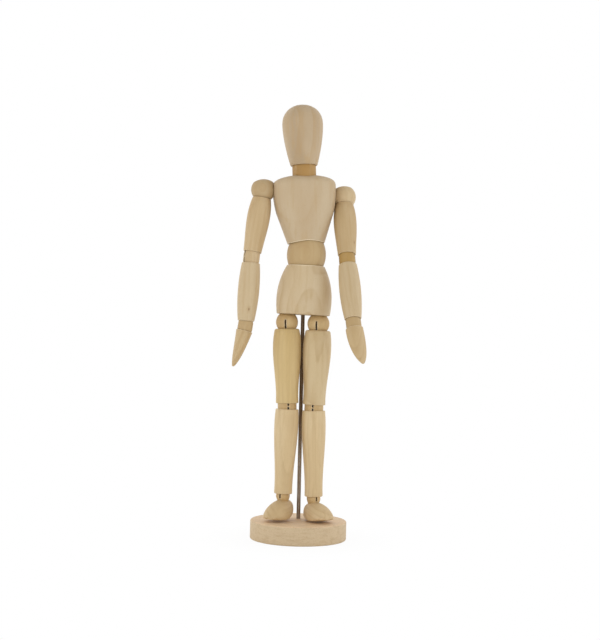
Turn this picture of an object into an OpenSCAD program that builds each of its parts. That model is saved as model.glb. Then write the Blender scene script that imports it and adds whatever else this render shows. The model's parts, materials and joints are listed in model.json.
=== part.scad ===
// Jointed wooden artist's figure on a round stand.
// Turned and carved pieces are drawn together by tension springs, whose hooks
// hold steel cross pins in the ball pieces. Saw cuts let the hooks swing.
// The figure faces -Y, its left side is +X, and the origin is under the base.

/* [Stand] */
// Diameter of the round base
base_d = 67; // [66:0.5:72]
// Height of the base
base_h = 13; // [12:0.5:15]
// Diameter of the steel rod
rod_d = 2.8; // [2.6:0.1:3]
// Distance of the rod behind the middle of the base
rod_back = 7; // [6.6:0.1:7.4]
// Depth of the rod's hole in the pelvis
rod_grip = 20; // [16:1:21]
// Distance of the figure's middle plane behind the middle of the base
figure_back = -1; // [-1.4:0.1:-0.8]

/* [Legs] */
// Height of the hips above the base
hip_up = 137.3; // [137.2:0.1:140]
// Knee to ankle pin, left and right
shin_l = [63.2, 62.25]; // [61:0.05:63.2]
// Hip to knee
thigh_l = 58.55; // [57:0.05:58.6]
// Half the distance between the hips
hip_x = 11; // [10.9:0.05:11.4]
// Inward slant of the thighs, left and right
thigh_slant = [1.9, 1.4]; // [0.6:0.1:2]
// Outward slant of the shins against the thighs, left and right
shin_slant = [3.1, 2.9]; // [1.6:0.1:3.2]
// Turn-out of each hip ball on its stud, left and right
hip_out = [-12, 8]; // [-12:1:8]
// Turn-out of the knees
knee_out = -8; // [-9:1:0]
// Turn-out of the feet
foot_out = 26; // [20:1:30]
// Dip of the toes, left and right
toe_dip = [4.5, 12]; // [4:0.5:12]
// Radius of the hip balls
hip_r = 7.7; // [7.6:0.1:8]
// Radius of the knee balls
knee_r = 6.6; // [6.4:0.1:6.8]
// Radius of the ankle balls
ankle_r = 4.8; // [4.6:0.1:5]
// Length of a foot
foot_l = 30; // [27:0.5:31]
// Width of a foot
foot_w = 18.4; // [16:0.2:18.6]
// Height of a foot
foot_h = 10.6; // [10:0.1:10.7]

/* [Torso] */
// Hip to waist
hip_to_waist = 47.7; // [47:0.1:48.5]
// Waist to shoulder line
waist_to_shoulder = 43.5; // [43:0.1:44]
// Waist to neck
waist_to_neck = 58.1; // [57.8:0.1:58.6]
// Height of the head over its lower rim
head_h = 42.7; // [41:0.1:45]
// Greatest radius of the head
head_r = 14.3; // [14:0.1:15]
// Radius of the waist ball
waist_r = 15; // [14.8:0.1:15.2]
// Radius of the neck ball
neck_r = 9.15; // [9:0.05:9.3]
// Lean of the pelvis to its left in the stored pose
pelvis_lean = 1.8; // [0:0.1:2]
// Lean of the chest to its left in the stored pose
chest_lean = -3.2; // [-3.2:0.1:0]
// Turn of the chest to its left in the stored pose
chest_twist = 9; // [0:1:10]

/* [Arms] */
// Half the distance between the shoulders
shoulder_x = 28.5; // [28.4:0.1:29]
// Height by which the right shoulder rides above the left
shoulder_lift = 6; // [0:0.1:6]
// Shoulder to elbow
arm_l = 48.8; // [47:0.1:51]
// Elbow to wrist
forearm_l = 47.8; // [46:0.1:50]
// Length of a hand below its wrist
hand_l = 25.5; // [23:0.5:27]
// Radius of the shoulder balls
shoulder_r = 8.6; // [8.4:0.1:8.7]
// Radius of the elbow balls
elbow_r = 5.7; // [5.6:0.1:5.8]
// Radius of the wrist balls
wrist_r = 5.2; // [5.1:0.1:5.3]

/* [Stored pose: left arm, right arm] */
// Forward swing of each arm
arm_forward = [20, 4]; // [0:1:25]
// Outward lift of each arm
arm_out = [-2.8, 12.3]; // [-2.9:0.1:14]
// Outward turn of each upper arm about its length
arm_turn = [65, 65]; // [0:1:80]
// Bend of each elbow
elbow_bend = [2.3, -5.9]; // [-8:0.1:30]
// Outward turn of each forearm about its length
forearm_turn = [25, 25]; // [-60:1:60]
// Bend of each wrist
wrist_bend = [4, 9.5]; // [-20:0.1:25]
// Turn of each hand on its eye
hand_turn = [-60, 0]; // [-90:5:90]

/* [Springs and pins] */
// Radius of the cross pins
pin_r = 0.5; // [0.4:0.05:0.55]
// Radius of the spring wire
wire_r = 0.3; // [0.25:0.01:0.3]
// Radius of the spring coils at the middle of the wire
coil_r = 1.5; // [1.4:0.05:1.55]
// Width of the saw cuts
kerf = 1.3; // [1.2:0.05:1.5]

/* [Hidden] */
$fn = 48;
LEFT = 0;
RIGHT = 1;
wood = "burlywood";
ball_wood = "peru";
steel = "silver";
// Play between a ball and its cup, round a pin, and round a piece that turns or slides
play = 0.3;
pin_play = 0.02;
slip = 0.05;
// Size of the softened rims of the limbs
rim = 0.4;
// Steps along a turned limb's outline, and round a lofted section
limb_steps = 12;
section_points = 36;
// Bore for a spring, the wider one for the waist's, and the blind end past a pin
bore_r = coil_r + wire_r + 0.4;
waist_bore_r = bore_r + 1;
bore_end = 3;
// Hook round a pin: its radius, its sweep, the steps of the sweep, and its room
hook_r = pin_r + wire_r + 0.3;
hook_sweep = 250;
hook_steps = 8;
hook_room = hook_r + wire_r + 0.25;
// Rings of the wire in one coil, and its sides
coil_rings = 8;
wire_sides = 6;
// Distance from a ball's middle to each of its two pins
elbow_p = 1.9;
wrist_p = 1.75;
knee_p = 2;
// Distance from a pin out to the rim of the limb that cups the ball
elbow_rim = 1.95;
wrist_rim = 1.75;
knee_rim = 0.05;
hip_rim = 4.6;
ankle_rim = 1.5;
shoulder_rim = 6.5;
// Slope of the cut behind the knee, which lets it fold
knee_relief = 35;
// Distance from a shoulder's middle to the pin of the spring across the chest
yoke_p = 4.6;
// Pins end below the surface by this much, and short of a blind hole's far side by this much
pin_sunk = 0.6;
pin_short = 1.5;

// Height of the hips above the table
hip_z = base_h + hip_up;
// The shoulders sit behind the chest's middle plane and the neck before it,
// so that the neck's spring passes the one across the chest
shoulder_back = 2.5;
neck_front = 2.5;
// Heights in the pelvis above the hips: its foot, its top and its pin
pelvis_foot = 5.7;
pelvis_top = hip_to_waist - 7.5;
pelvis_pin_z = hip_to_waist - 21;
// Heights in the chest above the waist: its foot, its top and its two pins
chest_foot = 7.4;
chest_top = 55.4;
chest_pin_z = 27;
neck_pin_z = 36.5;
// Heights in the head above the neck's middle: its foot and its pin
head_foot = 4.2;
head_pin_z = 19.2;

// Curves, lofts and tubes

// Point at t on the curve from a to d that b and c pull
function curve(a, b, c, d, t) =
  a * pow(1 - t, 3) + 3 * b * t * pow(1 - t, 2) + 3 * c * t * t * (1 - t) + d * pow(t, 3);

function unit(v) = v / norm(v);

// Power that keeps the sign of its base
function signed_power(v, e) = sign(v) * pow(abs(v), e);

// Section of half width w and half depth d, squarer the larger its exponent e
function squared_oval(w, d, e) =
  [for (k = [0 : section_points - 1])
    let (a = 360 * k / section_points)
    [w * signed_power(cos(a), 2 / e), d * signed_power(sin(a), 2 / e)]];

// Triangles between ring i and the next, each with n points
function band(i, n) =
  [for (k = [0 : n - 1], half = [0, 1])
    let (a = i * n + k, b = i * n + (k + 1) % n)
    half == 0 ? [a, a + n, b] : [b, a + n, b + n]];

// Solid through a list of rings that have the same number of points
module loft(rings) {
  n = len(rings[0]);
  last = (len(rings) - 1) * n;
  polyhedron(
    points = [for (ring = rings) each ring],
    faces = concat(
      [[for (k = [0 : n - 1]) k]],
      [for (i = [0 : len(rings) - 2]) each band(i, n)],
      [[for (k = [n - 1 : -1 : 0]) last + k]]
    )
  );
}

function path_direction(path, i) =
  unit(path[min(i + 1, len(path) - 1)] - path[max(i - 1, 0)]);

// A direction square to t that is as near to n as may be
function squared_to(n, t) = unit(n - (n * t) * t);

// Directions square to a path, carried along it without twist
function path_normals(path) =
  [for (
    i = 0, n = squared_to([0.31, 0.85, 0.42], path_direction(path, 0));
    i < len(path);
    i = i + 1, n = squared_to(n, path_direction(path, min(i, len(path) - 1)))
  ) n];

module wire(path) {
  normals = path_normals(path);
  loft([for (i = [0 : len(path) - 1])
    let (t = path_direction(path, i), n = normals[i], m = cross(t, n))
    [for (k = [0 : wire_sides - 1])
      let (a = -360 * k / wire_sides)
      path[i] + wire_r * (cos(a) * n + sin(a) * m)]]);
}

function polar(a, r, z) = [r * cos(a), r * sin(a), z];

// Hook round a pin at the origin, from its open end to where the wire runs down
function hook_points(a) =
  [for (k = [0 : hook_steps])
    let (q = hook_sweep * (1 - k / hook_steps))
    polar(a, hook_r * cos(q), hook_r * sin(q))];

// Spring from a pin at the origin to one l below it. The hooks face a and b,
// and the coils keep clear of the pins by the two drops.
function spring_points(l, drops, a, b, coils) =
  let (
    rings = coils * coil_rings,
    end = b + 360 * coils,
    lower = [for (p = hook_points(end)) [p[0], p[1], -l - p[2]]]
  )
  concat(
    hook_points(a),
    [for (k = [0 : rings])
      let (
        t = k / rings,
        out = min(1, min(k, rings - k) / coil_rings)
      )
      polar(
        a + (end - a) * t,
        hook_r + (coil_r - hook_r) * out,
        -drops[0] - (l - drops[0] - drops[1]) * t
      )],
    [for (k = [hook_steps : -1 : 0]) lower[k]]
  );

// Least clear gap of a wire to itself, past its own next rings
function least_gap(path) =
  min([for (i = [0 : len(path) - 8], j = [i + 7 : len(path) - 1]) norm(path[i] - path[j])])
  - 2 * wire_r;

module spring(name, l, drops, a, b, coils) {
  path = spring_points(l, drops, a, b, coils);
  echo(str(name, " least gap to itself ", least_gap(path), " mm"));
  color(steel) wire(path);
}

// Parts of the joints

// Limb turned between two heights, its radius drawn by four pulls and its upper rim rounded
module turned(top, bottom, r, soft = rim) {
  rounded = [for (a = [90 : -30 : 30]) [r[0] - soft + soft * cos(a), top - soft + soft * sin(a)]];
  inner = [for (i = [0 : limb_steps])
    let (t = i / limb_steps)
    [curve(r[0], r[1], r[2], r[3], t), top - soft + (bottom - top + soft + rim) * t]];
  rotate_extrude()
    polygon(concat(
      [[0, bottom], [0, top]],
      rounded,
      inner,
      [[r[3] - rim, bottom]]
    ));
}

// Cup for a ball of radius r
module cup(r) sphere(r = r + play);

// Bore down from a cup
module spring_bore(top, bottom)
  translate([0, 0, bottom]) cylinder(r = bore_r, h = top - bottom);

// The waist's spring runs askew when the chest leans, so its bore is wider
module waist_bore(top, bottom)
  translate([0, 0, bottom]) cylinder(r = waist_bore_r, h = top - bottom);

module pin(r, l) rotate([0, 90, 0]) cylinder(r = r, h = l, center = true);

// Pin driven in from one side into a piece that reaches from -half to half. Its hole starts
// outside by open and ends short of the far side.
module driven_pin(half) {
  l = 2 * half - pin_sunk - pin_short;
  translate([half - pin_sunk - l / 2, 0, 0]) pin(pin_r, l);
}

module driven_hole(half, open) {
  l = 2 * half + open - pin_short + pin_play;
  translate([half + open - l / 2, 0, 0]) pin(pin_r + pin_play, l);
}

// Saw cut in a ball of radius r, square to its pins, open towards +Z
module saw_cut(r)
  translate([-kerf / 2, -2 * r, -hook_room]) cube([kerf, 4 * r, 4 * r]);

// Ball with two round ends, each about its own pin, and a saw cut at each end.
// Its pins are driven in from +X or -X, as way says.
module barrel(r, p, way) {
  difference() {
    rotate_extrude() {
      intersection() {
        union() {
          translate([0, p]) circle(r);
          translate([0, -p]) circle(r);
          translate([-r, -p]) square([2 * r, 2 * p]);
        }
        translate([0, -2 * r]) square([2 * r, 4 * r]);
      }
    }
    for (end = [0, 180]) {
      rotate([end, 0, 0]) {
        translate([0, 0, p]) {
          rotate([0, 0, way > 0 ? 0 : 180]) driven_hole(r, r);
          saw_cut(r);
        }
      }
    }
  }
}

module barrel_pins(r, p, way)
  for (z = [p, -p]) translate([0, 0, z]) rotate([0, 0, way > 0 ? 0 : 180]) driven_pin(r);

// Places in the stored pose. Each limb hangs along -Z from its own origin.

function side(i) = i == LEFT ? 1 : -1;

module at_pelvis() translate([0, figure_back, hip_z]) rotate([0, pelvis_lean, 0]) children();

// The hips' studs stand upright, however the pelvis leans
module at_hip(i)
  at_pelvis() translate([side(i) * hip_x, 0, 0]) rotate([0, -pelvis_lean, 0]) children();

module at_thigh(i)
  at_hip(i) rotate([0, 0, side(i) * hip_out[i]]) rotate([0, side(i) * thigh_slant[i], 0]) children();

// The thigh's spring lets the knee turn against the hip
function knee_turn(i) = side(i) * (knee_out - hip_out[i]);

module at_knee(i)
  at_thigh(i) translate([0, 0, -thigh_l]) rotate([0, 0, knee_turn(i)]) children();

// The shin's origin is the knee's lower pin
module at_shin(i)
  at_knee(i) translate([0, 0, -knee_p]) rotate([0, -side(i) * shin_slant[i], 0]) children();

// The ankle is turned to where the toes point, and its peg leans with the foot
function ankle_turn(i) = side(i) * (foot_out - knee_out);

module at_ankle(i)
  at_shin(i)
    translate([0, 0, knee_p - shin_l[i]])
      rotate([0, 0, ankle_turn(i)])
        children();

module at_peg(i) at_ankle(i) rotate([toe_dip[i], 0, 0]) children();

module at_waist() at_pelvis() translate([0, 0, hip_to_waist]) children();

module at_chest()
  at_waist()
    rotate([0, chest_lean - pelvis_lean, 0])
      rotate([0, 0, chest_twist])
        children();

module at_neck() at_chest() neck_place() children();

// Places of the neck, of each shoulder and of the left end of the spring across the chest,
// in the chest. That spring runs along -Z.
module neck_place() translate([0, -neck_front, waist_to_neck]) children();

function shoulder_height(i) = waist_to_shoulder - side(i) * shoulder_lift / 2;

module shoulder_place(i)
  translate([side(i) * shoulder_x, shoulder_back, shoulder_height(i)]) children();

yoke_half = shoulder_x - yoke_p;

module yoke_place()
  translate([yoke_half, shoulder_back, shoulder_height(LEFT)])
    rotate([0, 90 + atan(shoulder_lift / (2 * yoke_half)), 0])
      children();

module at_shoulder(i)
  at_chest() shoulder_place(i) rotate([-arm_forward[i], 0, 0]) children();

module at_arm_spring(i) at_shoulder(i) rotate([0, -side(i) * arm_out[i], 0]) children();

module at_arm(i) at_arm_spring(i) rotate([0, 0, side(i) * arm_turn[i]]) children();

module at_elbow(i)
  at_arm(i)
    translate([0, 0, elbow_p - arm_l])
      rotate([-elbow_bend[i] / 2, 0, 0])
        translate([0, 0, -elbow_p])
          children();

module at_forearm_spring(i)
  at_elbow(i) translate([0, 0, -elbow_p]) rotate([-elbow_bend[i] / 2, 0, 0]) children();

module at_forearm(i)
  at_forearm_spring(i) rotate([0, 0, side(i) * forearm_turn[i]]) children();

forearm_pins = forearm_l - elbow_p - wrist_p;

module at_wrist(i)
  at_forearm(i)
    translate([0, 0, -forearm_pins])
      rotate([-wrist_bend[i] / 2, 0, 0])
        translate([0, 0, -wrist_p])
          children();

module at_hand(i)
  at_wrist(i) translate([0, 0, -wrist_p]) rotate([-wrist_bend[i] / 2, 0, 0]) children();

// Stand

// Wood left below the rod's hole in the base, and the rod's length
rod_floor = 3;
rod_l = hip_z + pelvis_foot + rod_grip - rod_floor;

module base() {
  edge = 1;
  r = base_d / 2;
  color("tan")
    difference() {
      rotate_extrude($fn = 96) {
        square([r - edge, base_h]);
        translate([0, edge]) square([r, base_h - 2 * edge]);
        for (z = [edge, base_h - edge]) translate([r - edge, z]) circle(edge);
      }
      translate([0, rod_back, rod_floor]) cylinder(r = rod_d / 2 + pin_play, h = base_h);
    }
}

module support_rod() {
  tip = 0.4;
  color(steel)
    translate([0, rod_back, rod_floor])
      rotate_extrude()
        polygon([
          [0, 0], [rod_d / 2, 0], [rod_d / 2, rod_l - tip], [rod_d / 2 - tip, rod_l], [0, rod_l]
        ]);
}

// Torso

// Ends of the pelvis pin, which is driven in from the left
pelvis_pin_ends = [-5.6, 16];

module pelvis() {
  // Each pull is half the width and half the depth, from the foot up
  foot_half = [18.7, 13.8];
  top_half = [13, 13];
  foot_square = 2.7;
  widest = 19.4;
  soft = 1;
  steps = 9;
  foot = [for (a = [0, 30, 60])
    let (inset = soft * (1 - sin(a)), z = pelvis_foot + soft * (1 - cos(a)))
    [for (p = squared_oval(foot_half[0] - inset, foot_half[1] - inset, foot_square))
      [p[0], p[1], z]]];
  body = [for (k = [0 : steps])
    let (
      t = k / steps,
      size = curve(foot_half, [20.2, 15], [19.3, 15.2], top_half, t),
      z = pelvis_foot + soft + (pelvis_top - pelvis_foot - soft) * t,
      squareness = foot_square - 0.7 * t
    )
    [for (p = squared_oval(size[0], size[1], squareness)) [p[0], p[1], z]]];
  color(wood)
    difference() {
      at_pelvis()
        difference() {
          loft(concat(foot, body));
          translate([0, 0, hip_to_waist]) {
            cup(waist_r);
            waist_bore(0, pelvis_pin_z - hip_to_waist - bore_end);
          }
          translate([widest, 0, pelvis_pin_z])
            pin(pin_r + pin_play, 2 * (widest - pelvis_pin_ends[0] + pin_sunk));
        }
      translate([0, rod_back, hip_z + pelvis_foot - 1])
        cylinder(r = rod_d / 2 + slip, h = rod_grip + 1);
      for (i = [LEFT, RIGHT]) {
        at_hip(i) {
          cup(hip_r);
          cylinder(r = stud_r + pin_play, h = stud_top);
        }
      }
    }
}

module pelvis_pin()
  color(steel)
    at_pelvis()
      translate([(pelvis_pin_ends[0] + pelvis_pin_ends[1]) / 2, 0, pelvis_pin_z])
        pin(pin_r, pelvis_pin_ends[1] - pelvis_pin_ends[0]);

// Headed stud that each hip ball turns on: shank, head, and its top above the ball's middle
stud_r = 1.2;
stud_head_r = 2.1;
stud_head_h = 0.9;
stud_head_z = 2.6;
stud_top = 16;

module hip_studs() {
  color(steel)
    for (i = [LEFT, RIGHT]) {
      at_hip(i)
        rotate_extrude()
          polygon([
            [0, stud_head_z], [stud_head_r, stud_head_z],
            [stud_head_r, stud_head_z + stud_head_h], [stud_r, stud_head_z + stud_head_h],
            [stud_r, stud_top - 0.5], [0, stud_top - 0.5]
          ]);
    }
}

module waist_ball() {
  belly_r = 13.65;
  belly_curve = 20;
  color(ball_wood)
    at_waist()
      difference() {
        rotate_extrude($fn = 72)
          intersection() {
            circle(waist_r);
            translate([belly_r - belly_curve, 0]) circle(belly_curve);
            translate([0, -waist_r]) square(2 * waist_r);
          }
        cylinder(r = waist_bore_r + 0.6, h = 3 * waist_r, center = true);
      }
}

module chest() {
  // Each section is half its width, half its depth and its height
  foot = [12.75, 11.2, chest_foot];
  rib = [20, 13.4, 29];
  arm = [22.2, 14, 48.2];
  top = [8.2, 7, chest_top];
  sections = concat(
    [for (t = [0, 0.33, 0.67]) foot + (rib - foot) * t],
    [for (k = [0 : 4])
      curve(rib, rib + [1.5, 0.6, 5], arm + [0.1, 0.1, -6], arm, k / 5)],
    [for (k = [0 : 7])
      curve(arm, arm + [0, -0.1, 4], top + [10.3, 5, -1.4], top, k / 7)]
  );
  color(wood)
    at_chest()
      difference() {
        loft([for (s = sections)
          [for (p = squared_oval(s[0], s[1], 2.5)) [p[0], p[1], s[2]]]]);
        cup(waist_r);
        waist_bore(chest_pin_z + bore_end, 0);
        neck_place() {
          cup(neck_r);
          spring_bore(0, neck_pin_z - waist_to_neck - bore_end);
        }
        for (i = [LEFT, RIGHT]) shoulder_place(i) cup(shoulder_r);
        yoke_place() spring_bore(0, -2 * shoulder_x);
        chest_pin_places() pin(pin_r + pin_play, chest_pin_l + 2 * pin_sunk);
      }
}

// Length of the two pins driven in from the back, and how far back each one ends
chest_pin_l = 16;
chest_pin_back = 11.2;
neck_pin_back = 11.7;

module chest_pin_places()
  for (place = [[chest_pin_back, chest_pin_z], [neck_pin_back, neck_pin_z]])
    translate([0, place[0] - chest_pin_l / 2, place[1]])
      rotate([0, 0, 90])
        children();

module chest_pins() color(steel) at_chest() chest_pin_places() pin(pin_r, chest_pin_l);

module neck() {
  side_r = 8.3;
  color(ball_wood)
    at_neck()
      difference() {
        rotate_extrude()
          intersection() {
            circle(neck_r);
            translate([0, -neck_r]) square([side_r, 2 * neck_r]);
          }
        cylinder(r = bore_r + 0.6, h = 3 * neck_r, center = true);
      }
}

module head() {
  rim_r = 9.5;
  widest_z = 0.68 * head_h;
  steps = 9;
  jaw = [for (k = [0 : steps])
    curve(
      [rim_r, rim], [rim_r + 2.2, 0.19 * head_h],
      [head_r, 0.475 * head_h], [head_r, widest_z], k / steps
    )];
  crown = [for (k = [1 : steps])
    curve(
      [head_r, widest_z], [head_r, widest_z + 0.2 * head_h],
      [0.56 * head_r, head_h], [0, head_h], k / steps
    )];
  color(wood)
    at_neck()
      difference() {
        translate([0, 0, head_foot])
          rotate_extrude($fn = 72)
            polygon(concat([[0, 0], [rim_r - rim, 0]], jaw, crown));
        cup(neck_r);
        spring_bore(head_pin_z + bore_end, 0);
        translate([0, head_r / 2, head_pin_z])
          rotate([0, 0, 90])
            pin(pin_r + pin_play, head_r + 12);
      }
}

module head_pin() {
  back = 10.5;
  front = -5.5;
  color(steel)
    at_neck()
      translate([0, (back + front) / 2, head_pin_z])
        rotate([0, 0, 90])
          pin(pin_r, back - front);
}

module waist_spring() {
  lean = chest_lean - pelvis_lean;
  run = [chest_pin_z * sin(lean), chest_pin_z * cos(lean) + hip_to_waist - pelvis_pin_z];
  at_pelvis()
    translate([run[0], 0, pelvis_pin_z + run[1]])
      rotate([0, atan(run[0] / run[1]), 0])
        spring("waist_spring", norm(run), [3, 3], chest_twist, 90, 6);
}

module neck_spring()
  at_neck()
    translate([0, 0, head_pin_z])
      spring("neck_spring", head_pin_z + waist_to_neck - neck_pin_z, [3, 3], 0, 0, 5);

module shoulder_spring() {
  l = norm([2 * yoke_half, shoulder_lift]);
  drop = shoulder_r - yoke_p + 1.2;
  at_chest()
    yoke_place()
      spring("shoulder_spring", l, [drop, drop], arm_forward[LEFT], arm_forward[RIGHT], 6);
}

// Arms

// Half of the shoulder ball's depth at the pin of the spring across the chest
yoke_chord = sqrt(pow(shoulder_r, 2) - pow(yoke_p, 2));

module shoulder_ball(i) {
  cap_r = 12;
  cap_top = 7.3;
  color(ball_wood)
    at_shoulder(i)
      difference() {
        rotate_extrude()
          intersection() {
            circle(shoulder_r);
            translate([0, cap_top - cap_r]) circle(cap_r);
            translate([0, -shoulder_r]) square(2 * shoulder_r);
          }
        rotate([180, 0, 90]) saw_cut(shoulder_r);
        rotate([0, 0, 90]) driven_hole(shoulder_r, shoulder_r);
        translate([-side(i) * yoke_p, 0, 0]) {
          rotate([0, 0, 90]) driven_hole(yoke_chord, shoulder_r);
          rotate([0, -side(i) * 90, 0]) translate([0, 0, -2]) cylinder(r = bore_r, h = shoulder_r);
        }
      }
}

module shoulder_pins(i)
  color(steel)
    at_shoulder(i)
      rotate([0, 0, 90]) {
        driven_pin(shoulder_r);
        translate([0, side(i) * yoke_p, 0]) driven_pin(yoke_chord);
      }

module upper_arm(i) {
  elbow_pin = elbow_p - arm_l;
  color(wood)
    at_arm(i)
      difference() {
        turned(-shoulder_rim, elbow_pin + elbow_rim, [6.6, 9.6, 7, 6.3]);
        cup(shoulder_r);
        translate([0, 0, elbow_pin]) cup(elbow_r);
        spring_bore(0, elbow_pin);
      }
}

module upper_arm_spring(i)
  at_arm_spring(i)
    spring(
      "upper_arm_spring", arm_l - elbow_p, [shoulder_r + 0.8, elbow_r + 0.8],
      0, 90 + side(i) * arm_turn[i], 5
    );

module elbow_ball(i) color(ball_wood) at_elbow(i) barrel(elbow_r, elbow_p, side(i));

module elbow_pins(i) color(steel) at_elbow(i) barrel_pins(elbow_r, elbow_p, side(i));

module forearm(i)
  color(wood)
    at_forearm(i)
      difference() {
        turned(-elbow_rim, wrist_rim - forearm_pins, [6.3, 8, 7.8, 5.75]);
        cup(elbow_r);
        translate([0, 0, -forearm_pins]) cup(wrist_r);
        spring_bore(0, -forearm_pins);
      }

module forearm_spring(i)
  at_forearm_spring(i)
    spring(
      "forearm_spring", forearm_pins, [elbow_r + 0.8, wrist_r + 0.8],
      90, 90 + side(i) * forearm_turn[i], 5
    );

module wrist_ball(i) color(ball_wood) at_wrist(i) barrel(wrist_r, wrist_p, side(i));

module wrist_pins(i) color(steel) at_wrist(i) barrel_pins(wrist_r, wrist_p, side(i));

module hand(i) {
  // Each pull is half the breadth, half the thickness, the length, and the drift to palm and side
  steps = 11;
  rings = [for (k = [0 : steps])
    let (
      t = k / steps,
      s = curve(
        [5.8, 5.7, 0, 0, 0], [7.6, 4.5, 0.3 * hand_l, 0, 0],
        [6.6, 3.4, 0.8 * hand_l, 0.6, 0.5], [0.9, 0.7, hand_l, 1.4, 1.2], t
      )
    )
    [for (p = squared_oval(s[0], s[1], 2.2))
      [p[0] + side(i) * s[4], p[1] - s[3], wrist_rim + s[2]]]];
  color(wood)
    at_hand(i)
      difference() {
        rotate([0, 0, side(i) * hand_turn[i]]) mirror([0, 0, 1]) loft(rings);
        cup(wrist_r);
        spring_bore(0, -wrist_r - 1);
        translate([0, 0, -eye_l - play]) cylinder(r = wire_r + play, h = eye_l);
      }
}

// Depth of the eye's shank below the wrist's lower pin
eye_l = 14;

module hand_eye(i)
  color(steel)
    at_hand(i)
      wire(concat(
        hook_points(90),
        [polar(90, hook_r, -3), polar(90, hook_r / 2, -4.5), [0, 0, -6], [0, 0, -eye_l]]
      ));

// Legs

module hip_ball(i)
  color(ball_wood)
    difference() {
      at_thigh(i)
        difference() {
          sphere(r = hip_r);
          rotate([180, 0, 0]) saw_cut(hip_r);
          pin(pin_r + pin_play, 3 * hip_r);
        }
      at_hip(i) {
        cylinder(r = stud_r + slip, h = 2 * hip_r);
        translate([0, 0, stud_head_z - play])
          cylinder(r = stud_head_r + play, h = stud_head_h + 2 * play);
      }
    }

module hip_pin(i) color(steel) at_thigh(i) pin(pin_r, 2 * (hip_r - pin_sunk));

module thigh(i) {
  knee_pin = knee_p - thigh_l;
  color(wood)
    at_thigh(i)
      difference() {
        turned(-hip_rim, knee_pin + knee_rim, [8.9, 12, 6.9, 7.9], soft = 1.6);
        cup(hip_r);
        translate([0, 0, knee_pin]) {
          cup(knee_r);
          rotate([0, 0, knee_turn(i)]) rotate([knee_relief, 0, 0]) knee_wedge(-1);
        }
        spring_bore(0, knee_pin);
      }
}

// Block taken off behind the knee, above or below the pin
module knee_wedge(up) {
  size = 24;
  translate([-size / 2, 0, up > 0 ? 0 : -size]) cube(size);
}

module thigh_spring(i)
  at_thigh(i)
    spring(
      "thigh_spring", thigh_l - knee_p, [hip_r + 0.8, knee_r + 0.8],
      90, 90 + knee_turn(i), 6
    );

module knee_ball(i) color(ball_wood) at_knee(i) barrel(knee_r, knee_p, -side(i));

module knee_pins(i) color(steel) at_knee(i) barrel_pins(knee_r, knee_p, -side(i));

module shin(i) {
  ankle_pin_z = knee_p - shin_l[i];
  color(wood)
    at_shin(i)
      difference() {
        turned(-knee_rim, ankle_pin_z + ankle_rim, [8, 9.7, 5.6, 6.3]);
        cup(knee_r);
        rotate([-knee_relief, 0, 0]) knee_wedge(1);
        translate([0, 0, ankle_pin_z]) cup(ankle_r);
        spring_bore(0, ankle_pin_z);
      }
}

module shin_spring(i)
  at_shin(i)
    spring(
      "shin_spring", shin_l[i] - knee_p, [knee_r + 0.8, ankle_r + 0.8],
      90, 90 + ankle_turn(i), 6
    );

// The ankle's peg goes down into the foot, which turns on it: its radius and length,
// and the depths of the foot's seat and sole below the ankle pin
peg_r = 2;
peg_l = 5;
seat_drop = 5.6;
sole_drop = 13.9;

module ankle_ball(i) {
  throat_r = 3.2;
  shoulder = 20;
  floor = -seat_drop + 0.1;
  ball = [for (a = [90 : -10 : -shoulder]) ankle_r * [cos(a), sin(a)]];
  cone = [[throat_r, floor], [peg_r, floor], [peg_r, floor - peg_l], [0, floor - peg_l]];
  color(ball_wood)
    difference() {
      at_peg(i) rotate_extrude() polygon(concat(ball, cone));
      at_ankle(i) {
        pin(pin_r + pin_play, 3 * ankle_r);
        saw_cut(ankle_r);
      }
    }
}

module ankle_pin(i) color(steel) at_ankle(i) pin(pin_r, 2 * (ankle_r - pin_sunk));

module foot(i) {
  heel = 0.31 * foot_l;
  tread = 1.5;
  heel_spring = 3.4;
  toe_spring = 3;
  seat_r = 4.7;
  steps = 14;
  first = 8;
  rings = [for (k = [0 : steps])
    let (
      a = first + (180 - 2 * first) * k / steps,
      t = (1 - cos(a)) / 2,
      w = foot_w / 2 * pow(sin(a), 0.65) * curve(0.66, 0.66, 1.14, 1, t),
      lift = toe_spring * pow(max(0, t - 0.5) * 2, 2) + heel_spring * pow(max(0, 0.3 - t) / 0.3, 2),
      h = foot_h * curve(1, 1.1, 1.35, 0.62, t) * pow(sin(a), 0.35) - tread - lift
    )
    [for (p = squared_oval(1, 1, 2.2))
      [
        w * p[0], heel - foot_l * t,
        lift + tread + (p[1] > 0 ? h * p[1] : tread * signed_power(p[1], 0.5))
      ]]];
  color(wood)
    at_peg(i)
      difference() {
        translate([0, 0, -sole_drop]) loft(rings);
        translate([0, 0, -seat_drop]) cylinder(r = seat_r, h = foot_h);
        translate([0, 0, -seat_drop - peg_l - play]) cylinder(r = peg_r + slip, h = foot_h);
      }
}

base();
support_rod();
pelvis();
waist_ball();
chest();
neck();
head();
shoulder_ball(LEFT);  // left_shoulder_ball
upper_arm(LEFT);  // left_upper_arm
elbow_ball(LEFT);  // left_elbow_ball
forearm(LEFT);  // left_forearm
wrist_ball(LEFT);  // left_wrist_ball
hand(LEFT);  // left_hand
hip_ball(LEFT);  // left_hip_ball
thigh(LEFT);  // left_thigh
knee_ball(LEFT);  // left_knee_ball
shin(LEFT);  // left_shin
ankle_ball(LEFT);  // left_ankle_ball
foot(LEFT);  // left_foot
shoulder_ball(RIGHT);  // right_shoulder_ball
upper_arm(RIGHT);  // right_upper_arm
elbow_ball(RIGHT);  // right_elbow_ball
forearm(RIGHT);  // right_forearm
wrist_ball(RIGHT);  // right_wrist_ball
hand(RIGHT);  // right_hand
hip_ball(RIGHT);  // right_hip_ball
thigh(RIGHT);  // right_thigh
knee_ball(RIGHT);  // right_knee_ball
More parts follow.
